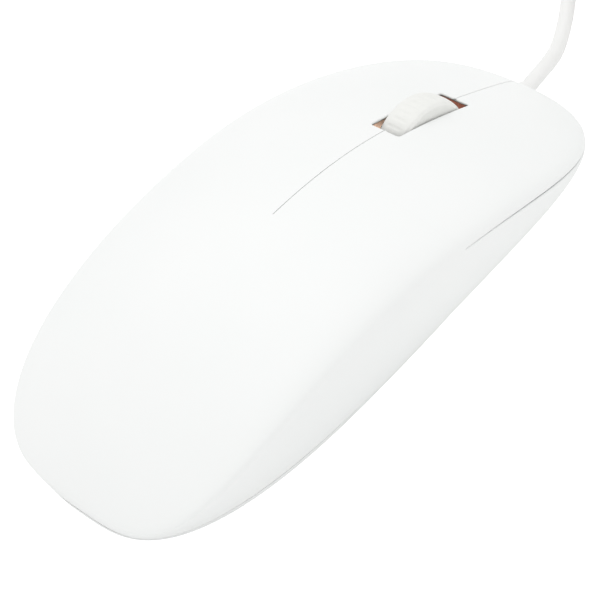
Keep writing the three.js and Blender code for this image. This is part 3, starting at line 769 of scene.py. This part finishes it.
palm_points, palm_faces, palm_normals = moulding(*palm_mesh(), palm_edge_radius)
palm = mesh_piece("palm_moulding", palm_points, palm_faces, abs_white, nodes=["palm_cover"], slot="housing",
                  normals=palm_normals)
print("palm cover", len(palm.data.vertices), "points")

# %% [markdown]
# Each key is a tongue of the same moulding that bends near its rear end when it is pressed. Its mesh starts
# at the joint with the palm cover. Its inner edge follows the slit and the wheel's slot.

# %% Keys
SLOT_CORNER = 0.5
SLOT_LIP = 0.5
LIP_REACH = 2.5
CORNER_STEPS = SLOT_CORNER * np.array([0, 0.35, 0.7, 1])
INNER_COLUMNS = np.array([SLIT_HALF, 0.7, 1.3, 1.8, 2.3, 2.65, 2.9, SLOT_HALF])


def rounded_slot(x, y):
    """Moves points near the slot's corners so that the edge turns there on an arc."""
    x, y = x.copy(), y.copy()
    for corner_y, inward in ((SLOT_REAR_Y, 1), (SLOT_FRONT_Y, -1)):
        centre = np.array([SLOT_HALF - SLOT_CORNER, corner_y + inward * SLOT_CORNER])
        dx, dy = x - centre[0], (centre[1] - y) * inward
        square = np.maximum(dx, dy)
        near = (dx > -1e-9) & (dy > -1e-9) & (square < 3 * SLOT_CORNER)
        length = np.hypot(dx, dy)
        on_arc = np.where(length > 1e-9, square / np.maximum(length, 1e-9), 1)
        fade = np.clip((3 * SLOT_CORNER - square) / (2 * SLOT_CORNER), 0, 1)
        scale = np.where(near, 1 + (on_arc - 1) * fade, 1)
        x = np.where(near, centre[0] + dx * scale, x)
        y = np.where(near, centre[1] - inward * dy * scale, y)
    return x, y


def key_mesh(side, spacing=0.6, across=40):
    """The outside of one key, from the joint to the front, without its half of the wheel's slot."""
    corners = [SLOT_REAR_Y + CORNER_STEPS, SLOT_FRONT_Y - CORNER_STEPS]
    fixed = [HINGE_U, *(np.concatenate(corners) / HALF_LENGTH)]
    stations = even_stations(HINGE_U, 1 - 4e-5, spacing, fixed)
    stations = stations[(stations >= HINGE_U - 1e-9)]
    columns = len(INNER_COLUMNS) + across
    x = np.zeros((len(stations), columns))
    for i, u in enumerate(stations):
        width = float(half_width(u))
        inner = INNER_COLUMNS * min(1, 0.3 * width / SLOT_HALF)
        s = even_row(lambda v, u=u: top_point(np.full_like(v, u), v), inner[-1] / width, 1, across)
        x[i] = [*inner, *(s[1:] * width)]
    y = np.repeat(HALF_LENGTH * stations[:, None], columns, 1)
    x, y = rounded_slot(x, y)
    u = y / HALF_LENGTH
    on_crease = np.zeros_like(x)
    on_crease[:, -1] = 1
    s = np.where(on_crease > 0, 1, np.minimum(x / half_width(u), 1))
    points = top_point(u, side * s).reshape(-1, 3)
    row_y = HALF_LENGTH * stations

    def in_slot(i, j):
        """Whether a face lies in the wheel's slot."""
        between_ends = row_y[i] > SLOT_REAR_Y - 1e-6 and row_y[i + 1] < SLOT_FRONT_Y + 1e-6
        return between_ends and j < len(INNER_COLUMNS) - 1

    return points, grid_faces(len(stations), columns, flip=side < 0, leave_out=in_slot)


def key_edge_radius(edge):
    """As for the palm cover: the joint stays sharp, and the open edges are rounded."""
    at_joint = edge[:, 1] < HINGE_Y + 0.05
    closed_groove = (edge[:, 1] < GROOVE_REAR_Y + 0.3) & (np.abs(edge[:, 0]) > 10)
    slit = np.where(np.abs(edge[:, 0]) < 0.4, SLIT_EDGE, OPEN_EDGE)
    return np.where(at_joint | closed_groove, SHARP_EDGE, slit)


def key_thickness(points):
    """The wall thins to a lip round the wheel's slot, so that the edge there looks fine."""
    x, y = np.abs(points[:, 0]), points[:, 1]
    along = np.maximum(0, np.maximum(SLOT_REAR_Y - y, y - SLOT_FRONT_Y))
    away = np.hypot(np.maximum(0, x - SLOT_HALF), along)
    return SLOT_LIP + (WALL - SLOT_LIP) * ease(away / LIP_REACH)


keys = {}
for side, place in ((-1, "left"), (1, "right")):
    key_points, key_faces, key_normals = moulding(*key_mesh(side), key_edge_radius, key_thickness)
    keys[place] = mesh_piece(place + "_key_moulding", key_points, key_faces, abs_white, body=None,
                             nodes=[place + "_key"], slot="housing", normals=key_normals)
    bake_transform(keys[place])
    print(place, "key", len(keys[place].data.vertices), "points")

# %% [markdown]
# The bottom case closes the housing from below. Its rim goes on from the side wall and turns under. Holes
# for the screws, the sensor and the glued-on feet and label are cut from the finished form.

# %% Bottom case
FEET = {place: box_mm(place + "_foot") for place in ("front", "rear")}
LABEL = box_mm("blank_label")
CLEARANCE = 0.3
RECESS_DEPTH = 0.3


def bottom_rings():
    """Level rings round the case, from the parting line down and in to the flat underside."""
    stations = even_stations(-1, 1, 1.0)
    around = [(u, 1) for u in stations] + [(u, -1) for u in stations[::-1][1:-1]]
    u = np.array([a[0] for a in around])
    side = np.array([a[1] for a in around])
    rings = []
    for z in (PARTING_Z - CLEARANCE, PARTING_Z - CLEARANCE - 0.12, 1.9, 1.6):
        t = (crease_z(u) - z) / (crease_z(u) - EDGE_Z)
        walls = [wall_point(np.array([a]), np.array([b]), c)[0] for a, b, c in zip(u, t, side)]
        ring = np.array(walls)
        if z == PARTING_Z - CLEARANCE:
            ring[:, :2] *= 0.996
        rings.append(ring)
    for turn in np.linspace(0, math.pi / 2, 5):
        inset = EDGE_INSET * (1 - math.cos(turn))
        ring = np.array([bottom_point(np.array([a]), c, inset)[0] for a, c in zip(u, side)])
        ring[:, 2] = EDGE_Z - (EDGE_Z - BASE_Z) * math.sin(turn)
        rings.append(ring)
    return rings


def cutter(name, outline, z_low, z_high):
    """A temporary upright solid to cut with."""
    rings = [np.array([[x, y, z] for x, y in outline]) for z in (z_high, z_low)]
    points, faces = joined_rings(rings)
    data = bpy.data.meshes.new(name)
    data.from_pydata([tuple(p * MM) for p in points], [], [tuple(f) for f in faces])
    tool = bpy.data.objects.new(name, data)
    bpy.context.scene.collection.objects.link(tool)
    return tool


def rounded_outline(low, high, radius, grow=0.0, steps=8):
    """A rounded rectangle's outline, clockwise from above."""
    x0, y0, x1, y1 = low[0] - grow, low[1] - grow, high[0] + grow, high[1] + grow
    radius = min(radius + grow, (y1 - y0) / 2 - 1e-3, (x1 - x0) / 2 - 1e-3)
    outline = []
    for cx, cy, start in ((x1 - radius, y1 - radius, 90), (x1 - radius, y0 + radius, 0),
                          (x0 + radius, y0 + radius, -90), (x0 + radius, y1 - radius, 180)):
        for k in range(steps + 1):
            angle = math.radians(start - 90 * k / steps)
            outline.append((cx + radius * math.cos(angle), cy + radius * math.sin(angle)))
    return outline


def circle_outline(x, y, radius, sides=40):
    """A circle's outline, clockwise from above."""
    angles = [-2 * math.pi * k / sides for k in range(sides)]
    return [(x + radius * math.cos(a), y + radius * math.sin(a)) for a in angles]


def cut_away(piece, tools):
    """Cuts each tool from the piece and removes the tools."""
    for tool in tools:
        modifier = piece.modifiers.new("cut", "BOOLEAN")
        modifier.operation = "DIFFERENCE"
        modifier.solver = "EXACT"
        modifier.object = tool
    evaluated = piece.evaluated_get(bpy.context.evaluated_depsgraph_get())
    cut = bpy.data.meshes.new_from_object(evaluated)
    piece.modifiers.clear()
    old = piece.data
    piece.data = cut
    bpy.data.meshes.remove(old)
    for tool in tools:
        bpy.data.objects.remove(tool)


def bottom_case():
    """The case with its recesses, the sensor's opening and the screw holes cut out."""
    rings = bottom_rings()
    points, faces = joined_rings(rings)
    case = mesh_piece("bottom_moulding", points, faces, abs_white, nodes=["bottom_case"], slot="housing")
    tools = [cutter("recess_" + place, rounded_outline(low, high, 10, CLEARANCE), -1, BASE_Z + RECESS_DEPTH)
             for place, (low, high) in FEET.items()]
    tools.append(cutter("recess_label", rounded_outline(*LABEL, 1, CLEARANCE), -1, BASE_Z + RECESS_DEPTH))
    tools.append(cutter("aperture", rounded_outline((-4, -4.5), (4, 6.5), 2), -1, PARTING_Z + 1))
    for place in ("left", "right"):
        low, high = box_mm(place + "_screw")
        centre = (low + high) / 2
        tools.append(cutter("hole_" + place, circle_outline(centre[0], centre[1], 2.3), -1, PARTING_Z + 1))
    cut_away(case, tools)
    case.data.set_sharp_from_angle(angle=math.radians(40))
    return case


case = bottom_case()
print("bottom case", len(case.data.polygons), "faces")

# %% [markdown]
# Under the mouse are two low-friction feet, cut from a dark slippery film (PTFE, IOR about 1.38), and a
# blank label of coated paper (IOR about 1.5), whose fibres show as a fine relief. Both are thin pads with
# a slightly rounded lower edge.

# %% Feet and label
ptfe_film = mottled_finish("grey_ptfe_film", ("#3D3E40", "#343537"), 2, (0.45, 0.6), 0.8, 0.25, 0.02,
                           IOR=1.38)
paper = mottled_finish("coated_label_paper", ("#E9E8E3", "#DFDED8"), 1.2, (0.5, 0.6), 2, 0.5, 0.015,
                       IOR=1.5)


def pad(name, low, high, radius, material, node, slot):
    """A thin pad, its lower edge rounded."""
    rings = []
    soft = min(0.2, (high[2] - low[2]) / 2)
    for z, inset in ((high[2], 0), (low[2] + soft, 0), (low[2] + 0.3 * soft, 0.3 * soft), (low[2], soft)):
        rings.append(np.array([[x, y, z] for x, y in rounded_outline(low, high, radius, -inset, 12)]))
    points, faces = joined_rings(rings)
    return mesh_piece(name, points, faces, material, nodes=[node], slot=slot, sharp_above=50)


for place, (low, high) in FEET.items():
    pad(place + "_glide", low, high, 10, ptfe_film, place + "_foot", "foot")
pad("underside_label", *LABEL, 1, paper, "blank_label", "label")
print("feet and label made")

# %% [markdown]
# The wheel's tyre is a soft grey-white rubber-like plastic (TPE, IOR about 1.49) over a hard hub. It is
# matt, with shallow grip marks across the tread. Its outline is a shallow crown between two chamfers, and
# a flange on each side covers the hub.

# %% Wheel
wheel_low, wheel_high = box_mm("wheel_tyre")
WHEEL_CENTRE = (wheel_low + wheel_high) / 2
WHEEL_RADIUS = (wheel_high[2] - wheel_low[2]) / 2
WHEEL_HALF = (wheel_high[0] - wheel_low[0]) / 2
TYRE_CROWN = 0.35
TYRE_CHAMFER = 0.5
TYRE_BORE = 7.6
FLANGE = 0.35
FLANGE_RADIUS = 6.6
GRIP_HALF = 1.5
tpe = mottled_finish("white_tpe_rubber", ("#F3F3F0", "#ECEDE9"), 1.5, (0.5, 0.62), 0.5, 0.3, 0.02, IOR=1.49)


def tyre_mesh(sides=240, marks=40, mark_depth=0.12):
    """The section is tread, chamfer and flange on each side, with the hub between the flanges."""
    edge = WHEEL_HALF - TYRE_CHAMFER
    shoulder = WHEEL_RADIUS - TYRE_CROWN
    tread = [(WHEEL_RADIUS - TYRE_CROWN * (h / edge) ** 2.5, h, 0) for h in np.linspace(0, edge, 9)[:-1]]
    right = [*tread, (shoulder, edge, 0.15), (shoulder - TYRE_CHAMFER, WHEEL_HALF, 0.15),
             (FLANGE_RADIUS, WHEEL_HALF, 0.1), (FLANGE_RADIUS, WHEEL_HALF - FLANGE, 0.05),
             (TYRE_BORE, WHEEL_HALF - FLANGE, 0)]
    left = [(r, -h, soft) for r, h, soft in right[:0:-1]]
    profile = rounded_profile([*left, *right])
    rings = turned_rings(profile, "x", WHEEL_CENTRE, sides)
    angles = np.linspace(0, 2 * math.pi, sides, endpoint=False)
    for ring, (radius, along) in zip(rings, profile):
        grip = math.exp(-((along / GRIP_HALF) ** 8)) if radius > shoulder else 0
        dip = mark_depth * grip * np.maximum(0, np.cos(marks * angles)) ** 4
        ring[:, 1:] = WHEEL_CENTRE[1:] + (ring[:, 1:] - WHEEL_CENTRE[1:]) * (1 - dip / radius)[:, None]
    return joined_rings(rings, closed=True)


tyre_points, tyre_faces = tyre_mesh()
tyre = mesh_piece("wheel_tread", tyre_points, tyre_faces, tpe, body="wheel", nodes=["wheel_tyre"],
                  slot="wheel_rubber", sharp_above=60)
print("wheel", len(tyre.data.polygons), "faces")

# %% [markdown]
# Inside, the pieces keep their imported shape, and each gets the finish of what it is. The circuit board is
# phenolic paper laminate, reddish brown and slightly glossy, which is what shows round the wheel. The
# encoder is tan PBT, the switches are black PBT, and the plungers are natural acetal.

# %% Inner finishes


def plated_steel(name, tones, roughness):
    """Zinc or nickel plated steel, with the fine lines of rolling. Its colour is the metal's own."""
    material, tree, place = new_material(name)
    along = add(tree, "ShaderNodeMapping", {"Vector": place, "Scale": (0.06, 1, 1)}).outputs["Vector"]
    noise = add(tree, "ShaderNodeTexNoise", {"Vector": along, "Scale": 1 / (0.25 * MM), "Detail": 3.0})
    lines = noise.outputs["Fac"]
    tone = add(tree, "ShaderNodeMix", {"Factor": lines, 6: linear(tones[0]), 7: linear(tones[1])},
               data_type="RGBA")
    rough = add(tree, "ShaderNodeMapRange",
                {"Value": lines, "To Min": roughness - 0.06, "To Max": roughness + 0.08})
    bump = add(tree, "ShaderNodeBump", {"Height": lines, "Distance": 0.004 * MM})
    shader = add(tree, "ShaderNodeBsdfPrincipled",
                 {"Base Color": tone.outputs[2], "Metallic": 1.0, "Roughness": rough.outputs["Result"],
                  "Normal": bump.outputs["Normal"]})
    add(tree, "ShaderNodeOutputMaterial", {"Surface": shader.outputs["BSDF"]})
    return material


def moulded(name, tones, roughness, ior, grain_mm=0.5):
    """A moulded technical plastic with a slight mottle."""
    return mottled_finish(name, tones, 4 * grain_mm, (roughness - 0.06, roughness + 0.06), 2 * grain_mm,
                          grain_mm, 0.02, IOR=ior)


FINISHES = {
    "board": mottled_finish("phenolic_paper_board", ("#8C5340", "#774838"), 3, (0.35, 0.5), 1, 0.6, 0.02,
                            IOR=1.55),
    "tan": moulded("tan_pbt", ("#CDB09B", "#BFA08A"), 0.45, 1.55),
    "acetal": moulded("natural_acetal", ("#E4DFD2", "#DAD4C5"), 0.35, 1.48),
    "black": moulded("black_pbt", ("#1E1E20", "#28282A"), 0.4, 1.55),
    "abs": moulded("natural_abs", ("#E2DED4", "#D8D4C9"), 0.4, 1.53),
    "epoxy": moulded("epoxy_package", ("#232325", "#2C2C2E"), 0.6, 1.55, 0.3),
    "insert": moulded("white_lcp", ("#EEEEEC", "#E4E4E1"), 0.45, 1.6),
    "can": plated_steel("sleeved_aluminium", ("#3A3D46", "#2F323A"), 0.35),
    "zinc": plated_steel("zinc_plated_steel", ("#C9CBCC", "#B4B7B9"), 0.3),
    "nickel": plated_steel("nickel_plated_steel", ("#D3D1CC", "#C2C0BA"), 0.22),
    "lens": mottled_finish("clear_polycarbonate", ("#F2F6F8", "#EDF3F6"), 4, (0.03, 0.08), 1, 1.5, 0.002,
                           IOR=1.585, Transmission_Weight=1.0),
    "lamp": mottled_finish("red_epoxy_lamp", ("#D3352C", "#B9261F"), 1.5, (0.1, 0.16), 1, 1.2, 0.004,
                           IOR=1.54, Transmission_Weight=0.6),
    "pvc": pvc,
}
WORN_BY = {
    "board": ["circuit_board"],
    "tan": ["encoder_housing"],
    "acetal": ["encoder_rotor", "left_switch_plunger", "right_switch_plunger", "middle_switch_plunger",
               "cable_header", "header_plug"],
    "black": ["left_switch_body", "right_switch_body", "middle_switch_body", "wheel_bracket", "led_clip"],
    "epoxy": ["optical_sensor", "controller_chip"],
    "abs": ["wheel_hub"],
    "can": ["capacitor"],
    "zinc": ["left_screw", "right_screw"],
    "nickel": ["plug_shell"],
    "insert": ["plug_tongue"],
    "lens": ["sensor_lens"],
    "lamp": ["sensor_led"],
    "pvc": ["inner_cable"],
}
for finish_name, node_names in WORN_BY.items():
    for node_name in node_names:
        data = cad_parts[node_name].data
        data.materials.clear()
        data.materials.append(FINISHES[finish_name])
print("finished", sum(len(n) for n in WORN_BY.values()), "packed pieces")

# %% [markdown]
# The set is a pale table under an even white sky, as in a light tent, with one broad lamp above. The table
# glows a little, as lit opal acrylic does, which keeps the shadow under the mouse faint. Thin white ABS lets
# some light through, so two faint lamps inside the housing light what shows round the wheel.

# %% Stage and light


def opal_table():
    """Cast opal acrylic, lit from below. It is brighter to the eye than it lights the mouse."""
    material, tree, place = new_material("opal_acrylic_table")
    cloud = add(tree, "ShaderNodeTexNoise", {"Vector": place, "Scale": 1 / (120 * MM)}).outputs["Fac"]
    tone = add(tree, "ShaderNodeMix", {"Factor": cloud, 6: linear("#E8E8E8"), 7: linear("#E4E4E4")},
               data_type="RGBA")
    seen = add(tree, "ShaderNodeLightPath").outputs["Is Camera Ray"]
    glow = add(tree, "ShaderNodeMapRange", {"Value": seen, "To Min": 0.2, "To Max": 0.85})
    shader = add(tree, "ShaderNodeBsdfPrincipled",
                 {"Base Color": tone.outputs[2], "Roughness": 0.6, "IOR": 1.49,
                  "Emission Color": linear("#FFFFFF"), "Emission Strength": glow.outputs["Result"]})
    add(tree, "ShaderNodeOutputMaterial", {"Surface": shader.outputs["BSDF"]})
    return material


table_points = np.array([[-3000, -3000, 0], [3000, -3000, 0], [3000, 3000, 0], [-3000, 3000, 0]])
table = mesh_piece("table", table_points, [(0, 1, 2, 3)], opal_table(), body=None)
table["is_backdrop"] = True

world = bpy.data.worlds.new("light_tent")
bpy.context.scene.world = world
world.use_nodes = True
tent = world.node_tree
tent.nodes.clear()
direction = add(tent, "ShaderNodeTexCoord").outputs["Generated"]
height = add(tent, "ShaderNodeSeparateXYZ", {"Vector": direction}).outputs["Z"]
level = add(tent, "ShaderNodeMapRange", {"Value": height, "From Max": 0.8, "To Min": 0.78, "To Max": 0.98})
sky = add(tent, "ShaderNodeBackground", {"Color": linear("#FFFFFF"), "Strength": level.outputs["Result"]})
add(tent, "ShaderNodeOutputWorld", {"Surface": sky.outputs["Background"]})


def soft_lamp(name, place_mm, aim_mm, size_mm, watts):
    """A square lamp that points at a place."""
    data = bpy.data.lights.new(name, "AREA")
    data.size = size_mm * MM
    data.energy = watts
    lamp = bpy.data.objects.new(name, data)
    bpy.context.scene.collection.objects.link(lamp)
    lamp.location = Vector(place_mm) * MM
    lamp.rotation_mode = "QUATERNION"
    lamp.rotation_quaternion = (Vector(aim_mm) - Vector(place_mm)).to_track_quat("-Z", "Y")
    return lamp


soft_lamp("overhead", (-250, 100, 700), (0, 0, 0), 600, 0.7)
soft_lamp("through_keys_front", (-7, 44, 12), (-7, 44, 8), 5, 0.0004)
soft_lamp("through_keys_rear", (-7, 24.5, 19), (-7, 24.5, 16), 3, 0.00035)
bpy.context.scene.view_settings.view_transform = "Standard"
print("stage ready")

# %% [markdown]
# Last, the finished model's box is printed, in millimetres.

# %% Sizes and finish
low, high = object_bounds()
print("visual box in mm:", [round(v / MM, 1) for v in (*low, *high)])
